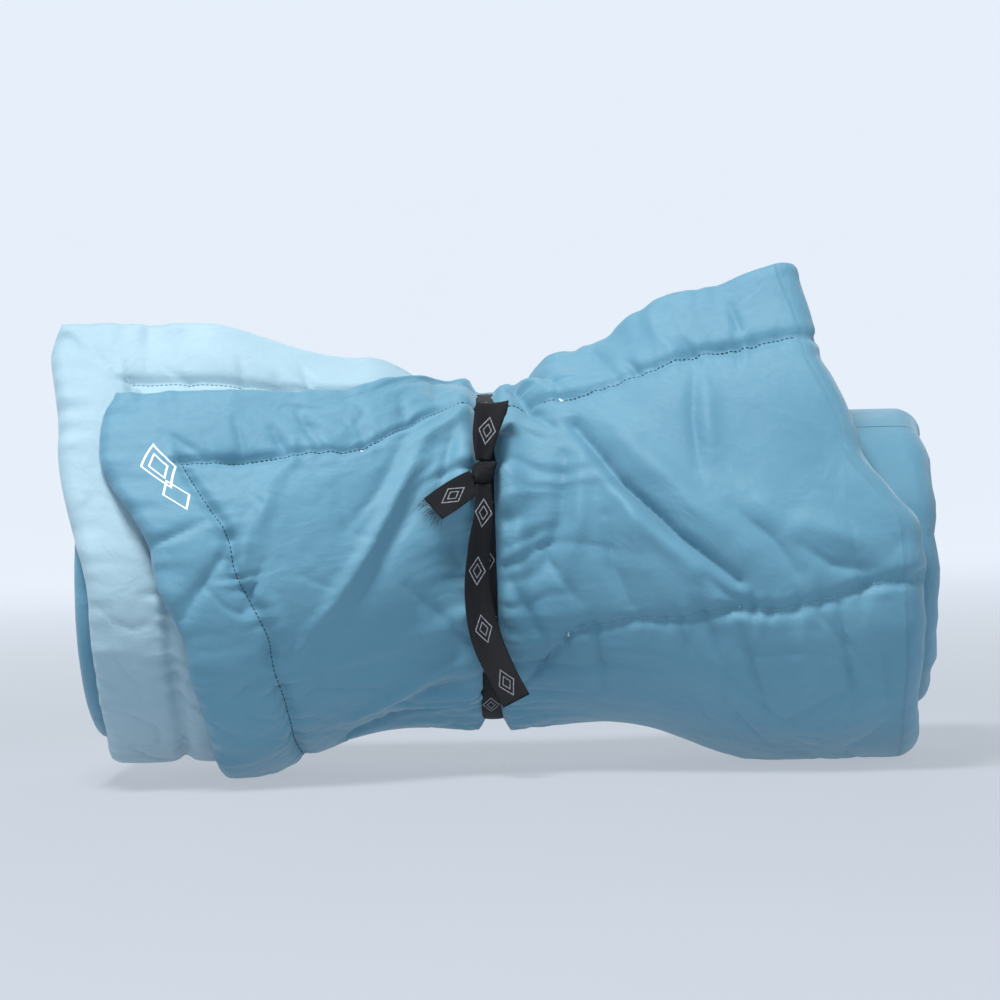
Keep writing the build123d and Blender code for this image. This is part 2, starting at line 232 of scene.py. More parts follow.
# Long soft folds and sharp creases of the outer layer: the places (turn, x in mm) that each runs
# through, its half width and its height in mm
FOLDS = (
    # left of the tie
    (((31, -142), (39, -158), (67, -182)), 7, 3.2), (((36, -150), (48, -170), (74, -176)), 6, -1.6),
    (((45, -52), (70, -92), (83, -114), (100, -146)), 7, 4.0),
    (((52, -44), (76, -82), (92, -110)), 9, -2.4), (((34, -60), (52, -84), (62, -110)), 8, -2.0),
    (((46, -30), (64, -40)), 4, -3.0), (((78, -30), (102, -27)), 13, -5.5),
    (((90, -68), (111, -34), (119, -14)), 3, -1.8), (((120, -12), (130, -60), (146, -110)), 9, 4.5),
    (((132, -20), (142, -70)), 7, -3.0), (((50, -206), (58, -248)), 3.5, -2.2),
    (((59, -190), (82, -224)), 4, -2.6), (((66, -166), (80, -178)), 4, -3.0),
    (((103, -164), (112, -196)), 3.5, -2.0), (((80, -160), (98, -150)), 4, 2.0),
    (((26, -208), (18, -236)), 3, -1.5), (((18, -160), (29, -148)), 3, -2.4),
    (((12, -142), (32, -122)), 3.5, -2.4), (((20, -100), (33, -92)), 3, -2.0),
    (((16, -70), (34, -64)), 4, -2.6), (((6, -46), (30, -42)), 4, -2.2),
    (((14, -186), (28, -178)), 3, -1.6),
    # right of the tie
    (((47, 60), (66, 90), (81, 128), (91, 170)), 5, -7.5),
    (((40, 72), (57, 104), (71, 140), (82, 176)), 13, 4.5), (((60, 74), (78, 106), (90, 140)), 9, 3.5),
    (((92, 150), (96, 164), (97, 186)), 4, -2.2), (((8, 8), (39, 28), (47, 44)), 5, -4.5),
    (((2, 22), (20, 40), (36, 58)), 5, -3.5), (((14, 16), (30, 50)), 7, 3.0),
    (((31, 148), (45, 144), (61, 146)), 4, -2.2), (((36, 154), (56, 156)), 7, 2.0),
    (((71, 168), (79, 194), (88, 210)), 4.5, -2.8), (((66, 180), (76, 206)), 8, 2.2),
    (((81, 214), (86, 234), (88, 268)), 4.5, -2.4), (((75, 220), (81, 260)), 8, 2.6),
    (((58, 52), (77, 48), (92, 34)), 5, -3.6), (((56, 66), (78, 62), (98, 48)), 7, 3.0),
    (((77, 80), (93, 84), (105, 96)), 5, -3.6), (((72, 96), (92, 104)), 8, 2.4),
    (((70, 20), (98, 16)), 7, 3.0), (((93, 6), (108, 24), (119, 34)), 4, -2.6),
    (((84, 26), (104, 60)), 4, -2.0), (((111, 70), (138, 76)), 3.5, -2.6),
    (((104, 128), (120, 138)), 3.5, -2.0), (((101, 146), (119, 162)), 4, -2.6),
    (((104, 172), (130, 190)), 4, -2.8), (((96, 238), (127, 250)), 4, -2.2),
    (((98, 212), (122, 216)), 6, 1.8), (((63, 262), (75, 292)), 9, 5.0), (((84, 276), (74, 296)), 4, -2.4),
    (((108, 268), (130, 276)), 5, -1.6), (((20, 140), (28, 154)), 3, -2.4),
    (((22, 100), (31, 112)), 3, -2.4), (((12, 216), (23, 238)), 4, -2.4), (((8, 76), (28, 92)), 4, -2.0),
    (((10, 178), (22, 186)), 3, -1.8), (((4, 120), (20, 128)), 5, 1.6),
)


def fold(turn, x, path, width, height):
    """Height of a soft fold or crease along a path, tapering off at both ends."""
    best = np.full(turn.shape, 1.0)
    share = np.zeros(turn.shape)
    path = np.array([(t * DEGREE, px * MM) for t, px in path])
    lengths = np.linalg.norm(np.diff(path, axis=0), axis=1)
    done = 0.0
    u, v = turn * DEGREE, x
    for (start, stop), length in zip(zip(path, path[1:]), lengths):
        step = (stop - start) / length
        along = np.clip((u - start[0]) * step[0] + (v - start[1]) * step[1], 0, length)
        away = np.hypot(u - start[0] - along * step[0], v - start[1] - along * step[1])
        share = np.where(away < best, (done + along) / lengths.sum(), share)
        best = np.minimum(best, away)
        done += length
    taper = 0.35 + 0.65 * np.sin(np.pi * np.clip(share, 0.06, 0.94))
    # a crease is narrower at its bottom, and deeper, than a fold of the same size is high
    sharpness, gain = (1.35, 1.75) if height < 0 else (2.0, 1.4)
    return gain * height * MM * np.exp(-np.abs(best / (width * MM)) ** sharpness) * taper


def creased(u, v, seed):
    """Noise with sharp creases, from 0 on the creases to 1."""
    return 1 - np.exp(-np.abs(noise_2d(u, v, seed)) * 5)


def gathers(turn, x, layer):
    """Gathers that radiate from the tie along the roll and die out."""
    reach = np.abs(x - WAIST_X)
    around = turn * DEGREE
    sway = 12 * MM * noise_2d(around / 0.05, x / 0.05, 3)
    side_seed = np.where(x > WAIST_X, 300.0, 0.0) + 400 * layer
    fine = noise_1d((around + sway * 0.5) / (8.5 * MM) + side_seed, 5)
    sharp = np.abs(noise_1d((around + sway) / (13 * MM) + side_seed, 9)) ** 0.8 * 2 - 0.8
    broad = noise_1d((around + sway) / (25 * MM) + side_seed, 6)
    length = 0.07 + 0.045 * noise_1d(around / (21 * MM) + side_seed, 8)
    fine_height = 1.9 * MM * np.exp(-((reach / 0.034) ** 2))
    sharp_height = 2.6 * MM * np.exp(-((reach / (length * 0.8)) ** 2))
    broad_height = 4.2 * MM * np.exp(-((reach / length) ** 2))
    return fine * fine_height + sharp * sharp_height + broad * broad_height


def puckers(turn, x, layer, side):
    """Small wrinkles square to the stitching."""
    near, along = stitch_distance(turn, x, layer, side)
    reach = (9 + 7 * noise_1d(along / (12 * MM), 15)) * MM
    sharp = np.abs(noise_1d(along / (11 * MM), 13))
    wave = noise_1d(along / (5 * MM) + 900 * layer, 12) + 1.6 * sharp - 0.8
    return 1.5 * MM * wave * np.exp(-((near / reach) ** 2))


def edge_scallops(turn, x, layer, side):
    """Wrinkles that run in from the sewn edges."""
    edge = np.minimum(side, turn * DEGREE)
    along = np.where(side < turn * DEGREE, turn * DEGREE, x)
    wave = noise_1d(along / (9 * MM) + 300 * layer, 21) + noise_1d(along / (21 * MM) + 300 * layer, 22)
    return 1.5 * MM * wave * np.exp(-((edge / (22 * MM)) ** 2))


def crumple(turn, x, layer):
    """Soft irregular wrinkling all over, with a few sharp creases."""
    u, v = turn * DEGREE + layer * 1.7, x
    u, v = u + 0.02 * noise_2d(u / 0.06, v / 0.06, 35), v + 0.02 * noise_2d(u / 0.06, v / 0.06, 36)
    total = 2.2 * noise_2d(u / 0.075, v / 0.095, 31) + 1.1 * noise_2d(u / 0.036, v / 0.052, 32)
    patches = np.clip(noise_2d(u / 0.11, v / 0.11, 37) + 0.35, 0, 1)
    creases = creased((u + 0.7 * v) / 0.06, (v - 0.7 * u) / 0.028, 33)
    small = creased((u - 0.5 * v) / 0.02, (v + 0.5 * u) / 0.012, 34)
    return (total + patches * (2.2 * creases + 0.7 * small)) * MM


def under_band(x):
    """1 under the ribbon, 0 clear of it."""
    return np.exp(-(((x - BAND_X) / (9.5 * MM)) ** 6))


def outer_relief(turn, x, layer, side):
    """Wrinkles, folds and creases of a layer that is seen from outside."""
    total = gathers(turn, x, layer) + puckers(turn, x, layer, side) + edge_scallops(turn, x, layer, side)
    return total + crumple(turn, x, layer)


def relief(turn, x, layer, side):
    """Everything that moves the padded layer as a whole along its normal."""
    outside = np.clip(1.25 - turn / 500, 0, 1)
    covering = np.zeros(turn.shape)
    near = (turn < 165) & (x > -0.3)
    for path, width, height in FOLDS:
        covering[near] += fold(turn[near], x[near], path, width, height)
    outer_edge = ease(turn, OUTER_EDGE_X)
    total = outer_relief(turn, x, layer, side)
    beneath = outer_relief(turn, x, np.zeros_like(layer), np.maximum(x - outer_edge, 0)) + covering
    covered = np.clip((x - outer_edge) / (30 * MM), 0, 1)
    under = np.minimum(beneath, 0) - 2.5 * MM
    total = np.where(layer == 0, total + covering, total * (1 - covered) + under * covered)
    held = under_band(x)
    shoulder = 3.8 * MM * np.exp(-(((np.abs(x - BAND_X) - 19 * MM) / (9 * MM)) ** 2)) * (layer == 0)
    shoulder = shoulder * (1 + 0.5 * noise_1d(turn * DEGREE / (17 * MM) + np.where(x > 0, 50, 0), 41))
    shoulder = shoulder * ease(turn, ((125, 1.0), (165, 0.1), (215, 0.1), (250, 1.0)))
    return (total * (1 - 0.85 * held) + shoulder - 1.5 * MM * held) * outside


# ---- mesh helpers ----
def grid_mesh(name, points, uv, closed=False):
    """Mesh of quads over a grid of points, with its flat cloth coordinates in metres as the UV map."""
    rows, columns = points.shape[:2]
    index = np.arange(rows * columns).reshape(rows, columns)
    right = np.roll(index, -1, axis=1) if closed else index[:, 1:]
    left = index if closed else index[:, :-1]
    faces = np.stack([left[:-1], right[:-1], right[1:], left[1:]], axis=-1).reshape(-1, 4)
    mesh = bpy.data.meshes.new(name)
    mesh.from_pydata(points.reshape(-1, 3).tolist(), [], faces.tolist())
    layer = mesh.uv_layers.new(name="cloth")
    flat = uv.reshape(-1, 2)[faces.reshape(-1)]
    layer.data.foreach_set("uv", flat.astype(np.float32).ravel())
    mesh.polygons.foreach_set("use_smooth", [True] * len(mesh.polygons))
    mesh.update()
    piece = bpy.data.objects.new(name, mesh)
    bpy.context.collection.objects.link(piece)
    return piece


def solid_strip(name, centre, across, out, widths, thick, cup=0.0):
    """A ribbon with a closed, softly rounded cross-section along a line of points."""
    profile = [(-0.5, 0.0), (-0.47, 0.5), (-0.25, 0.5), (0, 0.5), (0.25, 0.5), (0.47, 0.5),
               (0.5, 0.0), (0.47, -0.5), (0.25, -0.5), (0, -0.5), (-0.25, -0.5), (-0.47, -0.5)]
    side = np.array([p[0] for p in profile])[None, :, None]
    lift = np.array([p[1] for p in profile])[None, :, None]
    lift = lift * thick + cup * 4 * side ** 2
    points = centre[:, None] + across[:, None] * side * widths[:, None, None] + out[:, None] * lift
    length = np.concatenate([[0], np.cumsum(np.linalg.norm(np.diff(centre, axis=0), axis=1))])
    uv = np.stack([np.broadcast_to(side[..., 0], points.shape[:2]) * widths[:, None],
                   np.broadcast_to(length[:, None], points.shape[:2])], axis=-1)
    piece = grid_mesh(name, points, uv, closed=True)
    count, rows = len(profile), len(centre)
    add_faces(piece.data, [list(range(count))[::-1], list(range((rows - 1) * count, rows * count))])
    return piece


def add_faces(mesh, faces):
    """Adds end caps to a mesh."""
    bm = bmesh.new()
    bm.from_mesh(mesh)
    bm.verts.ensure_lookup_table()
    for face in faces:
        bm.faces.new([bm.verts[i] for i in face])
    bmesh.ops.recalc_face_normals(bm, faces=bm.faces)
    bm.to_mesh(mesh)
    bm.free()


def smooth_line(points, count):
    """Even points along a smooth curve through a few given ones."""
    points = np.asarray(points, float)
    fine = np.linspace(0, len(points) - 1, count)
    result = np.zeros((count, points.shape[1]))
    padded = np.vstack([2 * points[0] - points[1], points, 2 * points[-1] - points[-2]])
    for k, t in enumerate(fine):
        i = min(int(t), len(points) - 2)
        f = t - i
        a, b, c, d = padded[i], padded[i + 1], padded[i + 2], padded[i + 3]
        result[k] = 0.5 * (2 * b + (c - a) * f + (2 * a - 5 * b + 4 * c - d) * f ** 2
                           + (3 * b - a - 3 * c + d) * f ** 3)
    return result


# ---- materials ----
SHELL_THREAD = 0.45 * MM   # width of one thread of the woven cloth
RIB_STEP = 1.3 * MM        # between the ribbon's diagonal ribs
PRINT_STEP = 42 * MM       # between the diamonds printed on the ribbon


class Nodes:
    """Short hand for building a node material."""

    def __init__(self, name):
        self.material = bpy.data.materials.new(name)
        self.material.use_nodes = True
        self.tree = self.material.node_tree
        self.shader = self.tree.nodes["Principled BSDF"]

    def add(self, kind, inputs=(), **settings):
        node = self.tree.nodes.new(kind)
        for key, value in settings.items():
            setattr(node, key, value)
        for key, value in dict(inputs).items():
            self.set(node.inputs[key], value)
        return node

    def set(self, socket, value):
        if hasattr(value, "is_output"):
            self.tree.links.new(value, socket)
        else:
            socket.default_value = value

    def math(self, operation, first, second=0.0):
        node = self.add("ShaderNodeMath", operation=operation)
        self.set(node.inputs[0], first)
        self.set(node.inputs[1], second)
        return node.outputs[0]

    def noise(self, vector, scale, detail=3.0):
        node = self.add("ShaderNodeTexNoise", {"Vector": vector, "Scale": scale, "Detail": detail})
        return node.outputs["Fac"]

    def ramp(self, value, low, high, first, last):
        node = self.add("ShaderNodeMapRange", {"Value": value, "From Min": low, "From Max": high,
                                               "To Min": first, "To Max": last})
        return node.outputs["Result"]

    def mix(self, factor, first, last):
        node = self.add("ShaderNodeMix", data_type="RGBA")
        self.set(node.inputs["Factor"], factor)
        self.set(node.inputs["A"], first)
        self.set(node.inputs["B"], last)
        return node.outputs["Result"]

    def bump(self, height, strength, distance, normal=None):
        inputs = {"Height": height, "Strength": strength, "Distance": distance}
        if normal is not None:
            inputs["Normal"] = normal
        return self.add("ShaderNodeBump", inputs).outputs["Normal"]


def rgb(red, green, blue):
    """Linear colour from 0 to 255 screen values."""
    return tuple((c / 255 / 12.92 if c < 10 else ((c / 255 + 0.055) / 1.055) ** 2.4)
                 for c in (red, green, blue)) + (1.0,)


def cloth_coordinates(nodes):
    """Place on the flat cloth, in metres."""
    uv = nodes.add("ShaderNodeUVMap", uv_map="cloth").outputs["UV"]
    split = nodes.add("ShaderNodeSeparateXYZ", {"Vector": uv})
    return uv, split.outputs["X"], split.outputs["Y"]


def plain_weave(nodes, u, v, thread):
    """Height of a plain weave with threads of one width."""
    turn = math.pi / thread
    warp = nodes.math("SINE", nodes.math("MULTIPLY", u, turn))
    weft = nodes.math("SINE", nodes.math("MULTIPLY", v, turn))
    return nodes.math("MULTIPLY", warp, weft)


def diamond(nodes, u, v, centre_u, centre_v, wide, tall, line):
    """1 on the outline of a diamond in cloth coordinates."""
    across = nodes.math("DIVIDE", nodes.math("ABSOLUTE", nodes.math("SUBTRACT", u, centre_u)), wide)
    along = nodes.math("DIVIDE", nodes.math("ABSOLUTE", nodes.math("SUBTRACT", v, centre_v)), tall)
    reach = nodes.math("SUBTRACT", nodes.math("ADD", across, along), 1.0)
    return nodes.math("LESS_THAN", nodes.math("ABSOLUTE", reach), line)


def fabric(name, dark, light, mark=None):
    """Thin woven polyester with a soft sheen, faint shade changes and fine creasing."""
    nodes = Nodes(name)
    uv, u, v = cloth_coordinates(nodes)
    shade = nodes.ramp(nodes.noise(uv, 5.0, 4.0), 0.3, 0.7, 0.0, 1.0)
    colour = nodes.mix(shade, dark, light)
    if mark:
        for placing in mark:
            colour = nodes.mix(diamond(nodes, u, v, *placing), colour, rgb(238, 244, 247))
    nodes.set(nodes.shader.inputs["Base Color"], colour)
    crease = nodes.add("ShaderNodeTexNoise", {"Vector": uv, "Scale": 30.0, "Detail": 3.0, "Distortion": 0.5})
    crease = crease.outputs["Fac"]
    fine = nodes.noise(uv, 210.0, 3.0)
    weave = plain_weave(nodes, u, v, SHELL_THREAD)
    normal = nodes.bump(crease, 0.34, 0.006)
    normal = nodes.bump(fine, 0.25, 0.0008, normal)
    normal = nodes.bump(weave, 0.35, 0.00012, normal)
    nodes.set(nodes.shader.inputs["Normal"], normal)
    nodes.set(nodes.shader.inputs["Roughness"], nodes.ramp(fine, 0.3, 0.7, 0.5, 0.62))
    nodes.shader.inputs["Specular IOR Level"].default_value = 0.42
    nodes.shader.inputs["Sheen Weight"].default_value = 0.35
    nodes.shader.inputs["Sheen Roughness"].default_value = 0.45
    nodes.shader.inputs["Sheen Tint"].default_value = (0.85, 0.95, 1.0, 1.0)
    return nodes.material


def ribbon_material():
    """Black satin twill with diagonal ribs and a small repeated outline print."""
    nodes = Nodes("ribbon_twill")
    uv, u, v = cloth_coordinates(nodes)
    slant = nodes.math("ADD", u, nodes.math("MULTIPLY", v, 1.4))
    diagonal = nodes.math("MULTIPLY", slant, 2 * math.pi / RIB_STEP)
    ribs = nodes.math("SINE", diagonal)
    cell = nodes.math("FRACT", nodes.math("DIVIDE", v, PRINT_STEP))
    local = nodes.math("MULTIPLY", nodes.math("SUBTRACT", cell, 0.5), PRINT_STEP)
    outer = diamond(nodes, u, local, 0.0, 0.0, 0.0060, 0.0100, 0.065)
    inner = diamond(nodes, u, local, 0.0, 0.0, 0.0030, 0.0050, 0.11)
    printed = nodes.math("MAXIMUM", outer, inner)
    faded = nodes.ramp(nodes.noise(uv, 900.0, 2.0), 0.35, 0.6, 0.35, 0.9)
    # Painted highlight and shade: the colour is lighter on the rib crests and darker in the grooves between
    # them.
    base = nodes.mix(nodes.ramp(ribs, -1.0, 1.0, 0.0, 1.0), rgb(4, 5, 9), rgb(20, 22, 29))
    nodes.set(nodes.shader.inputs["Base Color"],
              nodes.mix(nodes.math("MULTIPLY", printed, faded), base, rgb(176, 180, 188)))
    nodes.set(nodes.shader.inputs["Normal"], nodes.bump(ribs, 0.6, 0.00025))
    nodes.set(nodes.shader.inputs["Roughness"], nodes.ramp(ribs, -1.0, 1.0, 0.75, 0.55))
    nodes.shader.inputs["Specular IOR Level"].default_value = 0.3
    return nodes.material


def thread_material(name, dark, light):
    """Twisted sewing thread."""
    nodes = Nodes(name)
    place_vector = nodes.add("ShaderNodeTexCoord").outputs["Object"]
    twist = nodes.noise(place_vector, 2400.0, 2.0)
    nodes.set(nodes.shader.inputs["Base Color"], nodes.mix(twist, dark, light))
    nodes.set(nodes.shader.inputs["Normal"], nodes.bump(twist, 0.5, 0.0002))
    nodes.shader.inputs["Roughness"].default_value = 0.6
    return nodes.material


def batting_material():
    """White fibre filling."""
    nodes = Nodes("batting")
    place_vector = nodes.add("ShaderNodeTexCoord").outputs["Object"]
    fluff = nodes.noise(place_vector, 160.0, 6.0)
    nodes.set(nodes.shader.inputs["Base Color"], nodes.mix(fluff, rgb(214, 218, 220), rgb(245, 247, 248)))
    nodes.set(nodes.shader.inputs["Normal"], nodes.bump(fluff, 0.8, 0.003))
    nodes.shader.inputs["Roughness"].default_value = 0.95
    return nodes.material


# ---- the blanket ----
FILLING_SHARE = 0.2        # the filling's half thickness as a share of the padding's
FILLING_REACH = 7          # rows and columns over which it thins towards a stitch line


def build_blanket(turns):
    """Grids of the shell, lining, core and filling's half thickness, and their cloth coordinates."""
    middle, turn, x, layer, side = middle_surface(turns)
    normal = grid_normals(middle)
    half = padding(turn, x, layer, side)
    # on layer 1 the grid's outward normal points into the roll, so the same bulge has the other sign
    sign = np.where(layer == 0, 1.0, -1.0)
    around_fold = 1 - groove(np.abs(np.arange(x.shape[1]) - FOLD_START - FOLD_COLUMNS / 2), 14.0)[None, :]
    lift = relief(turn, x, layer, side) * sign * around_fold
    fold_waves = 1.4 * MM * noise_1d(turn * DEGREE / (15 * MM), 51)
    fold_waves = fold_waves + 1.8 * MM * noise_1d(turn * DEGREE / (45 * MM), 52)
    lift = lift + (1 - around_fold) * fold_waves
    flat_u = np.where(layer == 0, side, CLOTH_WIDTH - side)
    flat_u[:, FOLD_START:INNER_START] = FOLD_U + np.linspace(0, 0.1, FOLD_COLUMNS)[None, :]
    uv = np.stack([flat_u, turn * DEGREE], axis=-1)
    shell = middle + normal * (half + lift)[..., None]
    lining = middle + normal * (lift - half)[..., None]
    core = middle + normal * lift[..., None]
    for surface in (shell, lining, core):
        surface[..., 2] = np.maximum(surface[..., 2], FLOOR_GAP)
    return shell, lining, core, normal * (FILLING_SHARE * half)[..., None], uv


def thinnest_nearby(offset, reach):
    """Each offset cut down to the shortest one within a few rows and columns."""
    length = np.linalg.norm(offset, axis=-1)
    least = length.copy()
    for axis in (0, 1):
        rows = least.copy()
        for step in range(1, reach + 1):
            for move in (step, -step):
                rows = np.minimum(rows, np.roll(least, move, axis=axis))
        least = rows
    return offset * (least / np.maximum(length, 1e-9))[..., None]


def build_batting(core, offset, name):
    """The fibre filling: a closed slab inside the two fabrics."""
    offset = thinnest_nearby(offset, FILLING_REACH)
    inside = (slice(4, -4, 2), slice(6, -6, 2))
    top, bottom = (core + offset)[inside], (core - offset)[inside]
    loop = np.concatenate([top, bottom[:, ::-1]], axis=1)
    piece = grid_mesh(name, loop, loop[..., :2], closed=True)
    rows, count = loop.shape[:2]
    caps = []
    for ring in (range(count), range((rows - 1) * count, rows * count)):
        for i in range(count // 2 - 1):
            caps.append([ring[i], ring[i + 1], ring[count - 2 - i], ring[count - 1 - i]])
    add_faces(piece.data, caps)
    return piece


def sample(grid, row, column):
    """Point of a grid at fractional row and column."""
    i, j = int(row), int(column)
    i, j = min(i, grid.shape[0] - 2), min(j, grid.shape[1] - 2)
    a, b = row - i, column - j
    low = grid[i, j] * (1 - b) + grid[i, j + 1] * b
    high = grid[i + 1, j] * (1 - b) + grid[i + 1, j + 1] * b
    return low * (1 - a) + high * a


def find(turn, x, layer):
    """Fractional row and column of a place on the blanket."""
    row = float(np.interp(turn, WRAP_TURNS, np.arange(len(WRAP_TURNS))))
    edge = float(ease(turn, INNER_EDGE_X if layer else OUTER_EDGE_X))
    centre = float(ease(turn, FOLD_X)) - PANEL
    share = np.clip((x - edge) / (centre - edge), 0, 1)
    column = float(np.interp(share, leg_shares(LEG_COLUMNS), np.arange(LEG_COLUMNS)))
    if layer:
        column = 2 * LEG_COLUMNS + FOLD_COLUMNS - 1 - column
    return row, column


# One stitch, as (share of its length, share of the thread's radius, rise in radii)
STITCH_PROFILE = ((0.0, 0.35, -0.3), (0.2, 1.0, 0.35), (0.5, 1.1, 0.6), (0.8, 1.0, 0.35), (1.0, 0.35, -0.3))


def seam(name, grid, normals, line, layer):
    """A row of single stitches along a line of (turn, x) places."""
    dense = smooth_line(line, 400)
    points = np.array([sample(grid, *find(t, px, layer)) for t, px in dense])
    ups = np.array([sample(normals, *find(t, px, layer)) for t, px in dense])
    length = np.concatenate([[0], np.cumsum(np.linalg.norm(np.diff(points, axis=0), axis=1))])
    vertices, faces = [], []
    ring = [(math.cos(a), math.sin(a)) for a in np.radians(np.arange(0, 360, 60))]
    sides = len(ring)
    start = 0.0
    while start + STITCH_STEP < length[-1]:
        base = len(vertices)
        for along, size, lift in STITCH_PROFILE:
            at = start + along * (STITCH_STEP - STITCH_GAP)
            centre = np.array([np.interp(at, length, points[:, k]) for k in range(3)])
            up = np.array([np.interp(at, length, ups[:, k]) for k in range(3)])
            ahead = np.array([np.interp(at + 1e-3, length, points[:, k]) for k in range(3)]) - centre
            across = np.cross(ahead, up)
            across = across / (np.linalg.norm(across) + 1e-12)
            radius = STITCH_RADIUS * size
            rise = STITCH_RADIUS * lift
            vertices += [centre + across * c * radius + up * (s * radius + rise) for c, s in ring]
        for k in range(len(STITCH_PROFILE) - 1):
            for m in range(sides):
                a, b = base + sides * k + m, base + sides * k + (m + 1) % sides
                faces.append((a, b, b + sides, a + sides))
        faces.append(tuple(range(base + sides - 1, base - 1, -1)))
        faces.append(tuple(range(len(vertices) - sides, len(vertices))))
        start += STITCH_STEP
    mesh = bpy.data.meshes.new(name)
    mesh.from_pydata([tuple(v) for v in vertices], [], faces)
    mesh.polygons.foreach_set("use_smooth", [True] * len(mesh.polygons))
    piece = bpy.data.objects.new(name, mesh)
    bpy.context.collection.objects.link(piece)
    return piece


SHELL, LINING, CORE, FILLING, CLOTH_UV = build_blanket(WRAP_TURNS)
DEEP_SHELL, DEEP_LINING, DEEP_CORE, DEEP_FILLING, DEEP_UV = build_blanket(INNER_TURNS)
SHELL_NORMALS = grid_normals(SHELL)
# The corner's outline mark: three diamonds in cloth coordinates, as diamond() takes them
MARKS = ((0.040, 0.078, 0.012, 0.020, 0.07), (0.040, 0.078, 0.0065, 0.011, 0.12),
         (0.040, 0.105, 0.009, 0.013, 0.09))
shell_cloth = fabric("shell_taffeta", rgb(86, 139, 164), rgb(98, 151, 175), MARKS)
lining_cloth = fabric("lining_taffeta", rgb(146, 178, 193), rgb(162, 193, 207))
dark_thread = thread_material("dark_thread", rgb(24, 66, 84), rgb(50, 104, 126))
pale_thread = thread_material("pale_thread", rgb(96, 140, 160), rgb(140, 180, 198))

# Parts of the grids: OUTER is the outer layer and the fold, REST the inner layer, and BACK and SIDE
# are the same two for the lining
whole, coarse = slice(None), slice(None, None, 2)
OUTER, REST = slice(0, INNER_START + 9), slice(INNER_START + 8, None)
BACK, SIDE = slice(0, INNER_START + 1), slice(INNER_START, None)
FABRICS = (
    ("quilt_shell", SHELL, CLOTH_UV, (whole, OUTER), "outer_shell", "shell_fabric", shell_cloth),
    ("quilt_shell_inner_layer", SHELL, CLOTH_UV, (coarse, REST), "outer_shell", "shell_fabric", shell_cloth),
    ("quilt_shell_inside", DEEP_SHELL, DEEP_UV, (whole, whole), "inner_shell", "shell_fabric", shell_cloth),
    ("quilt_lining", LINING, CLOTH_UV, (whole, SIDE), "lining", "lining_fabric", lining_cloth),
    ("quilt_lining_outer_layer", LINING, CLOTH_UV, (coarse, BACK), "lining", "lining_fabric", lining_cloth),
    ("quilt_lining_inside", DEEP_LINING, DEEP_UV, (whole, whole), "lining", "lining_fabric", lining_cloth),
)
for name, grid, uv, part, node, slot, material in FABRICS:
    grid, uv = grid[part], uv[part]
    if node == "lining":
        grid, uv = grid[:, ::-1], uv[:, ::-1]
    piece = grid_mesh(name, grid, uv)
    piece.data.materials.append(material)
    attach(piece, "blanket")
    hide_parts(node)


def edge_x(turn, layer):
    """x of a layer's open side edge."""
    return float(ease(turn, INNER_EDGE_X if layer else OUTER_EDGE_X))


LINING_NORMALS = -grid_normals(LINING)
SEAMS = (
    ("free_edge_stitches", SHELL, SHELL_NORMALS, 0, dark_thread, "free_edge_stitching",
     [(float(ease(px, FREE_STITCH)), px)
      for px in np.linspace(edge_x(STITCH_CORNER, 0) + BORDER, 0.225, 14)]),
    ("side_edge_stitches", SHELL, SHELL_NORMALS, 0, dark_thread, "side_edge_stitching",
     [(t, edge_x(t, 0) + BORDER) for t in np.linspace(STITCH_CORNER, 300, 22)]),
    ("lining_stitches", LINING, LINING_NORMALS, 1, pale_thread, "lining_stitching",
     [(BORDER_TURN, px) for px in np.linspace(edge_x(BORDER_TURN, 1) + BORDER, -0.1, 10)]),
    ("quilt_stitches", SHELL, SHELL_NORMALS, 0, pale_thread, "quilt_stitching",
     [(float(ease(px, QUILT_LINE)), px) for px in np.linspace(-0.1, 0.285, 16)]),
    ("back_quilt_stitches", SHELL, SHELL_NORMALS, 0, pale_thread, "quilt_stitching",
     [(BACK_QUILT_TURN, px) for px in np.linspace(edge_x(BACK_QUILT_TURN, 0) + BORDER, 0.3, 12)]),
)
for name, grid, normals, layer, material, node, line in SEAMS:
    piece = seam(name, grid, normals, line, layer)
    piece.data.materials.append(material)
    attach(piece, "blanket")
    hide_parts(node)

fibre = batting_material()
for name, core, offset in (("batting", CORE, FILLING), ("batting_inside", DEEP_CORE, DEEP_FILLING)):
    batting = build_batting(core, offset, name)
    batting.data.materials.append(fibre)
    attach(batting, "blanket")
    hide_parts("insulation")

# ---- the ribbon ----
RIBBON_THICK = 0.9 * MM
KNOT = np.array([-8.0, -96.7, 221.9]) * MM
KNOT_OUT = np.array([0, -0.942, 0.335])
KNOT_UP = np.array([0, 0.335, 0.942])
KNOT_ROWS, KNOT_SIDES = 40, 72
# Band: (angle of turn, x of its middle in mm, width in mm)
BAND = ((0, -4, 22), (40, -5, 21), (70, -8, 15), (150, -8, 14), (200, -4, 19), (316, -4, 22))
LOOP_LENGTH, LOOP_GAP = 43 * MM, 9 * MM
# Long end: (x, drop below the knot, width) in mm
LONG_TAIL = ((-8, 0, 11), (-9, 22, 14), (-13, 46, 17), (-15, 76, 19), (-10, 108, 22), (1, 136, 22),
             (11, 156, 22))
SHORT_TAIL_WIDTHS = (17, 20, 22, 22)
TAIL_ROWS = 80
FRAY_COUNT, FRAY_STEPS = 46, 6
RIBBON_TWILL = ribbon_material()
FRAY_THREAD = thread_material("frayed_thread", rgb(14, 18, 26), rgb(46, 50, 60))


def unit(vectors):
    """Vectors scaled to a length of 1."""
    return vectors / np.linalg.norm(vectors, axis=-1, keepdims=True)


def front_y(x, z, reach=0.016):
    """Y of the front of the blanket near a place."""
    near = SHELL.reshape(-1, 3)
    near = near[(np.abs(near[:, 0] - x) < reach) & (np.abs(near[:, 2] - z) < reach) & (near[:, 1] < 0)]
    return near[:, 1].min()


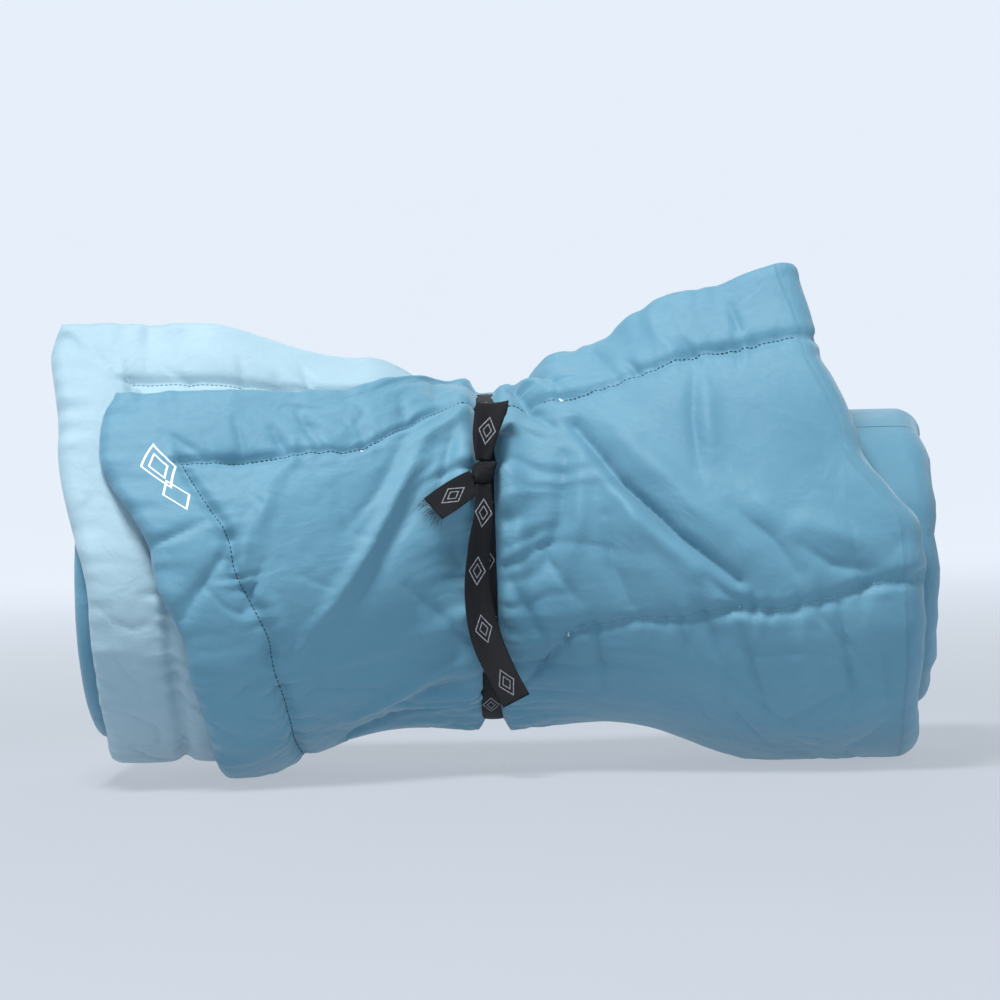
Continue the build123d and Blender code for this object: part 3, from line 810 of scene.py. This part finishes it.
def ribbon_piece(name, points, outs, widths, cup=0.0):
    """A strip of the ribbon along a line, with its face towards outs."""
    points, outs = np.asarray(points), unit(np.asarray(outs))
    ahead = unit(np.gradient(points, axis=0))
    across = unit(np.cross(ahead, outs))
    outs = np.cross(across, ahead)
    piece = solid_strip(name, points, across, outs, np.asarray(widths), RIBBON_THICK, cup=cup)
    piece.data.materials.append(RIBBON_TWILL)
    return piece


def ribbon_band():
    """The ribbon round the waist, sunk between the gathers."""
    turns = np.arange(1, 317, 4.0)
    x = ease(turns, [(t, a * MM) for t, a, w in BAND])
    width = ease(turns, [(t, w * MM) for t, a, w in BAND])
    points = place(turns, x, np.full(turns.shape, BAND_DEPTH), 1)
    bridge = points[-1] + (points[0] - points[-1]) * np.array([0.25, 0.5, 0.75])[:, None]
    bridge[:, 2] += np.array([5, 7.5, 5]) * MM
    points = np.vstack([points, bridge, points[:1]])
    width = np.concatenate([width, [width[-1]] * 3, width[:1]])
    for _ in range(3):
        ring = points[:-1]
        points[:-1] = (np.roll(ring, 1, axis=0) + 2 * ring + np.roll(ring, -1, axis=0)) / 4
        points[-1] = points[0]
    centre = points.mean(axis=0)
    outs = points - centre
    outs[:, 0] = 0
    return ribbon_piece("ribbon_band", points, outs, width, cup=-0.8 * MM)


def ribbon_knot():
    """The tight overhand knot: a twisted lump with one turn of ribbon across it."""
    polar = np.linspace(0.02, math.pi - 0.02, KNOT_ROWS)[:, None]
    around = np.linspace(0, 2 * math.pi, KNOT_SIDES + 1)[:-1][None, :]
    swell = 1 + 0.13 * np.sin(3 * around + 4 * np.cos(polar)) + 0.07 * np.sin(7 * around - 3 * polar)
    along_x = np.cos(polar) * 8.5 * MM * np.ones_like(around)
    out = np.sin(polar) * np.cos(around) * 4.8 * MM * swell
    up = np.sin(polar) * np.sin(around) * 7.5 * MM * swell
    points = KNOT + out[..., None] * KNOT_OUT + up[..., None] * KNOT_UP
    points[..., 0] += along_x
    uv = np.stack([along_x, around * 8 * MM * np.ones_like(polar)], axis=-1)
    lump = grid_mesh("ribbon_knot", points, uv, closed=True)
    last_row = (KNOT_ROWS - 1) * KNOT_SIDES
    add_faces(lump.data, [list(range(KNOT_SIDES)), list(range(last_row, last_row + KNOT_SIDES))])
    lump.data.materials.append(RIBBON_TWILL)
    angle = np.linspace(0, 2 * math.pi, 41)
    ring_out = np.cos(angle) * 5.8 * MM
    ring_up = np.sin(angle) * 8.4 * MM
    ring = KNOT + ring_out[:, None] * KNOT_OUT + ring_up[:, None] * KNOT_UP
    ring[:, 0] += 1.5 * MM + 0.35 * ring_up
    outs = np.cos(angle)[:, None] * KNOT_OUT + np.sin(angle)[:, None] * KNOT_UP
    widths = np.full(len(angle), 11 * MM)
    return lump, ribbon_piece("ribbon_knot_wrap", ring, outs, widths, cup=-1.2 * MM)


def ribbon_bow_loop():
    """The folded loop that stands up from the knot and leans back on the waist."""
    root = KNOT + KNOT_UP * 9 * MM + KNOT_OUT * 2.4 * MM
    reach = np.array([0, 0.12, 0.3, 0.5, 0.7, 0.88, 0.97, 1.0, 0.97, 0.88, 0.7, 0.5, 0.3, 0.12, 0])
    gap = np.array([0.25, 0.5, 0.9, 1.1, 1.15, 1.0, 0.7, 0.0, -0.6, -0.75, -0.7, -0.6, -0.45, -0.3, -0.2])
    sway = np.array([0, 1, 2.5, 4, 6, 7.5, 8, 8, 7.5, 6, 4, 2, 1, 0.5, 0]) * MM
    line = root + (reach * LOOP_LENGTH)[:, None] * KNOT_UP + (gap * LOOP_GAP / 2)[:, None] * KNOT_OUT
    line[:, 0] += sway
    line = smooth_line(line, 90)
    share = np.clip((line - root) @ KNOT_UP / LOOP_LENGTH, 0, 1)
    width = (10 + 14 * share ** 0.8) * MM
    ahead = np.gradient(line, axis=0)
    outs = np.cross(ahead, np.array([-1.0, 0, 0]))
    return ribbon_piece("ribbon_bow_loop", line, outs, width, cup=1.6 * MM)


def ribbon_long_tail():
    """The long end that hangs down the front of the waist."""
    root = KNOT - KNOT_UP * 9 * MM
    places = smooth_line([(x * MM, d * MM, w * MM) for x, d, w in LONG_TAIL], TAIL_ROWS)
    clear = np.array([front_y(x, root[2] - drop) for x, drop, w in places]) - 4 * MM
    clear = np.minimum.accumulate(clear) * 0.5 + np.minimum(clear, clear.min() + 6 * MM) * 0.5
    start = ease(places[:, 1], ((0, 0.0), (0.03, 1.0)))
    y = root[1] * (1 - start) + clear * start
    y = np.convolve(np.pad(y, 6, mode="edge"), np.ones(13) / 13, mode="valid")
    points = np.stack([places[:, 0], y, root[2] - places[:, 1]], axis=-1)
    lean = 0.35 * np.sin(places[:, 1] / places[-1, 1] * 5.0)
    outs = np.stack([lean, -np.ones(TAIL_ROWS), 0.1 * np.ones(TAIL_ROWS)], axis=-1)
    return ribbon_piece("ribbon_long_tail", points, outs, places[:, 2], cup=1.0 * MM)


def short_tail_line(count):
    """Points along the short end's middle, and the way its face looks at each."""
    shares = np.array([0, 0.3, 0.65, 1.0])
    turns, x = 66 + 9 * shares, (-14 - 27 * shares) * MM
    points = place(turns, x, np.zeros(4), 1)
    outs = unit(np.stack([0.1 - 0.5 * shares, -np.ones(4), 0.25 * np.ones(4)], axis=-1))
    points = points + outs * (np.array([7, 8.5, 9, 9.5]) * MM)[:, None]
    return smooth_line(points, count), smooth_line(outs, count)


def ribbon_short_tail():
    """The short end, which lies to the left of the knot."""
    points, outs = short_tail_line(30)
    widths = smooth_line([(w * MM,) for w in SHORT_TAIL_WIDTHS], 30)[:, 0]
    return ribbon_piece("ribbon_short_tail", points, outs, widths, cup=0.8 * MM)


def frayed_threads():
    """Loose threads at the short end's raw edge."""
    points, outs = short_tail_line(30)
    ahead = unit(points[-1] - points[-2])
    across = unit(np.cross(ahead, outs[-1]))
    mesh = bpy.data.meshes.new("frayed_threads")
    vertices, faces = [], []
    for k in range(FRAY_COUNT):
        spread = k / (FRAY_COUNT - 1) - 0.5
        start = points[-1] - ahead * 1.5 * MM + across * spread * 20.5 * MM
        reach = RNG.uniform(4, 11) * MM
        droop = RNG.uniform(-1.5, 4.5) * MM
        wander = RNG.uniform(-2.5, 2.5) * MM
        rise = RNG.uniform(-0.5, 1.5) * MM
        base = len(vertices)
        for step in np.linspace(0, 1, FRAY_STEPS + 1):
            centre = start + ahead * reach * step + across * (wander * step ** 2 + spread * 4 * MM * step)
            centre = centre + outs[-1] * rise * step - np.array([0, 0, droop]) * step ** 2
            radius = 0.17 * MM * (1 - 0.4 * step)
            for angle in (0, 2.1, 4.2):
                away = across * math.cos(angle) + outs[-1] * math.sin(angle)
                vertices.append(centre + away * radius)
        for row in range(FRAY_STEPS):
            for m in range(3):
                a, b = base + 3 * row + m, base + 3 * row + (m + 1) % 3
                faces.append((a, b, b + 3, a + 3))
    mesh.from_pydata([tuple(v) for v in vertices], [], faces)
    piece = bpy.data.objects.new("frayed_threads", mesh)
    bpy.context.collection.objects.link(piece)
    piece.data.materials.append(FRAY_THREAD)
    return piece


knot, knot_wrap = ribbon_knot()
RIBBON_PIECES = (
    (ribbon_band(), "blanket", "ribbon_band"),
    (knot, "blanket", "ribbon_knot"),
    (knot_wrap, "blanket", "ribbon_knot"),
    (ribbon_bow_loop(), "bow_loop", "ribbon_bow_loop"),
    (ribbon_long_tail(), "long_tail", "ribbon_long_tail"),
    (ribbon_short_tail(), "short_tail", "ribbon_short_tail"),
    (frayed_threads(), "short_tail", "frayed_threads"),
)
for piece, body, node in RIBBON_PIECES:
    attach(piece, body)
    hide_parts(node)


# ---- the stage, lights and camera ----
STAGE_RADIUS = 4.0         # of the flat floor, and of the curve up to the wall


def make_stage():
    """A pale floor that sweeps up all round into a pale wall, both with a painted glow that grows further
    out.
    """
    sweep = np.linspace(0.1, math.pi / 2, 14)
    flat = np.concatenate([[0.001], np.linspace(0.5, STAGE_RADIUS, 8)])
    radii = np.concatenate([flat, STAGE_RADIUS * (1 + np.sin(sweep))])
    heights = np.concatenate([np.zeros(len(flat)), STAGE_RADIUS * (1 - np.cos(sweep))])
    angles = np.linspace(0, 2 * math.pi, 97)[:-1]
    points = np.stack([radii[:, None] * np.cos(angles), radii[:, None] * np.sin(angles),
                       np.broadcast_to(heights[:, None], (len(radii), len(angles)))], axis=-1)
    points[..., 2] -= FLOOR_GAP
    floor = grid_mesh("floor", points, points[..., :2], closed=True)
    nodes = Nodes("floor_paint_and_glow")
    grain = nodes.noise(nodes.add("ShaderNodeTexCoord").outputs["Object"], 3.0, 2.0)
    nodes.set(nodes.shader.inputs["Base Color"], nodes.mix(grain, rgb(98, 103, 112), rgb(104, 109, 118)))
    nodes.shader.inputs["Roughness"].default_value = 1.0
    # Painted glow: the floor and wall glow as if lit, weaker near the middle and stronger towards the far
    # wall, so the floor by the blanket stays darker than the wall.
    spot = nodes.add("ShaderNodeTexCoord").outputs["Object"]
    away = nodes.add("ShaderNodeVectorMath", operation="LENGTH")
    nodes.set(away.inputs[0], spot)
    nodes.shader.inputs["Emission Color"].default_value = (0.85, 0.92, 1.0, 1.0)
    glow = nodes.ramp(away.outputs["Value"], 0.6, 4.5, 0.47, 0.86)
    nodes.set(nodes.shader.inputs["Emission Strength"], glow)
    floor.data.materials.append(nodes.material)


def area_light(name, location, target, size, power, colour):
    """A round lamp that shines at a point."""
    light = bpy.data.lights.new(name, "AREA")
    light.shape = "DISK"
    light.size = size
    light.energy = power
    light.color = colour
    lamp = bpy.data.objects.new(name, light)
    lamp.location = location
    lamp.rotation_euler = (Vector(target) - Vector(location)).to_track_quat("-Z", "Y").to_euler()
    bpy.context.collection.objects.link(lamp)


CAMERA_DISTANCE = 1.9
CAMERA_HEIGHT = 0.2017
CAMERA_X = 0.0034
FIELD = 0.758              # width seen at the roll's middle
ROLL_ANGLE = math.radians(1.8)


def make_camera():
    """Straight on from the front, tilted a little to one side."""
    camera = bpy.data.cameras.new("camera")
    camera.lens = camera.sensor_width * CAMERA_DISTANCE / FIELD
    rig = bpy.data.objects.new("camera", camera)
    rig.location = (CAMERA_X, -CAMERA_DISTANCE, CAMERA_HEIGHT)
    rig.rotation_euler = (math.pi / 2, ROLL_ANGLE, 0)
    bpy.context.collection.objects.link(rig)
    bpy.context.scene.camera = rig


make_stage()
area_light("key", (-0.5, -0.84, 2.16), (0, 0, 0.15), 0.7, 58, (1.0, 0.985, 0.96))
area_light("fill", (2.2, -1.6, 1.2), (0, 0, 0.15), 1.8, 6, (0.9, 0.95, 1.0))
area_light("back", (0.3, 2.4, 2.0), (0, 0, 0.2), 1.6, 12, (0.95, 0.98, 1.0))
world = bpy.data.worlds.new("studio")
world.use_nodes = True
world.node_tree.nodes["Background"].inputs["Color"].default_value = (0.80, 0.87, 1.0, 1.0)
world.node_tree.nodes["Background"].inputs["Strength"].default_value = 0.2
bpy.context.scene.world = world
bpy.context.scene.view_settings.view_transform = "Standard"
make_camera()
